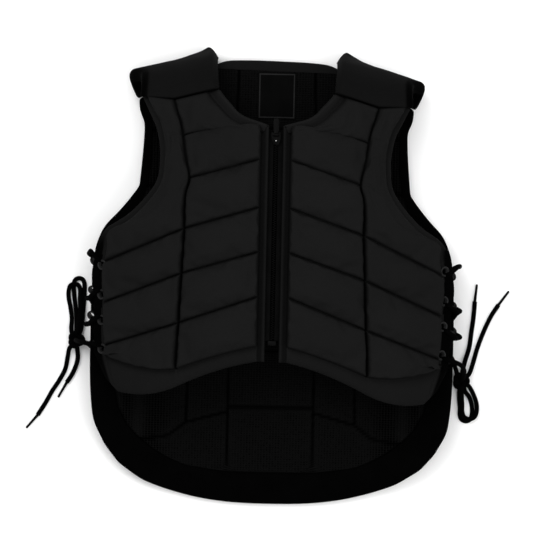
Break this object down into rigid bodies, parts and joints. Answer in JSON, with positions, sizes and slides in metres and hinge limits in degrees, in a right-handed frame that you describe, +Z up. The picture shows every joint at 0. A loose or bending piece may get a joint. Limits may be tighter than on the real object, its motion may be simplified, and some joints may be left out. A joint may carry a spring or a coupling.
{
  "type": "equestrian body protector",
  "caption": "Padded riding vest in black, lying on its back: front zip, chevron foam blocks, laced sides with tied bows, open neck and armholes.",
  "frame": {"origin": "under the middle of the vest, on the surface that it lies on", "axes": "+Y from the tail to the neck, +X to the vest's own left side, +Z up through the chest"},
  "size_m": [0.5057, 0.4787, 0.1261],
  "materials": {
    "cover_fabric": "charcoal woven nylon over soft foam, matte",
    "mesh_lining": "black knitted mesh, matte",
    "tape_fabric": "black woven tape, matte",
    "lace_fabric": "black braided round lace, slightly shiny",
    "label_fabric": "black woven satin label with a light grey border",
    "eyelet_metal": "gunmetal lacquer, dull",
    "zip_metal": "black lacquer, satin",
    "zip_plastic": "black moulded teeth",
    "aglet_plastic": "black, semi-gloss"
  },
  "bodies": {
    "vest": {"front_panel_left": "cover_fabric", "shoulder_piece_left": "cover_fabric", "front_eyelet_left_1": "eyelet_metal", "front_eyelet_left_2": "eyelet_metal", "front_eyelet_left_3": "eyelet_metal", "front_eyelet_left_4": "eyelet_metal", "back_eyelet_left_1": "eyelet_metal", "back_eyelet_left_2": "eyelet_metal", "back_eyelet_left_3": "eyelet_metal", "back_eyelet_left_4": "eyelet_metal", "side_lacing_left": "lace_fabric", "bow_knot_left": "lace_fabric", "bow_lead_left_1": "lace_fabric", "bow_loop_left_1": "lace_fabric", "lace_tail_left_1": "lace_fabric", "aglet_left_1": "aglet_plastic", "bow_lead_left_2": "lace_fabric", "bow_loop_left_2": "lace_fabric", "lace_tail_left_2": "lace_fabric", "aglet_left_2": "aglet_plastic", "zip_tape_left": "tape_fabric", "front_panel_right": "cover_fabric", "shoulder_piece_right": "cover_fabric", "front_eyelet_right_1": "eyelet_metal", "front_eyelet_right_2": "eyelet_metal", "front_eyelet_right_3": "eyelet_metal", "front_eyelet_right_4": "eyelet_metal", "back_eyelet_right_1": "eyelet_metal", "back_eyelet_right_2": "eyelet_metal", "back_eyelet_right_3": "eyelet_metal", "back_eyelet_right_4": "eyelet_metal", "side_lacing_right": "lace_fabric", "bow_knot_right": "lace_fabric", "bow_lead_right_1": "lace_fabric", "bow_loop_right_1": "lace_fabric", "lace_tail_right_1": "lace_fabric", "aglet_right_1": "aglet_plastic", "bow_lead_right_2": "lace_fabric", "bow_loop_right_2": "lace_fabric", "lace_tail_right_2": "lace_fabric", "aglet_right_2": "aglet_plastic", "zip_tape_right": "tape_fabric", "back_panel": "cover_fabric", "back_lining": "mesh_lining", "neck_label": "label_fabric", "zip_chain": "zip_plastic", "zip_slider": "zip_metal", "zip_stop": "zip_metal"},
    "pull": {"zip_pull": "zip_metal"}
  },
  "joints": [
    {"name": "pull_hinge", "type": "hinge", "parent": "vest", "child": "pull", "pos_m": [0, 0.1495, 0.1018], "axis": [1, 0, 0], "range_deg": [0, 170]}
  ]
}
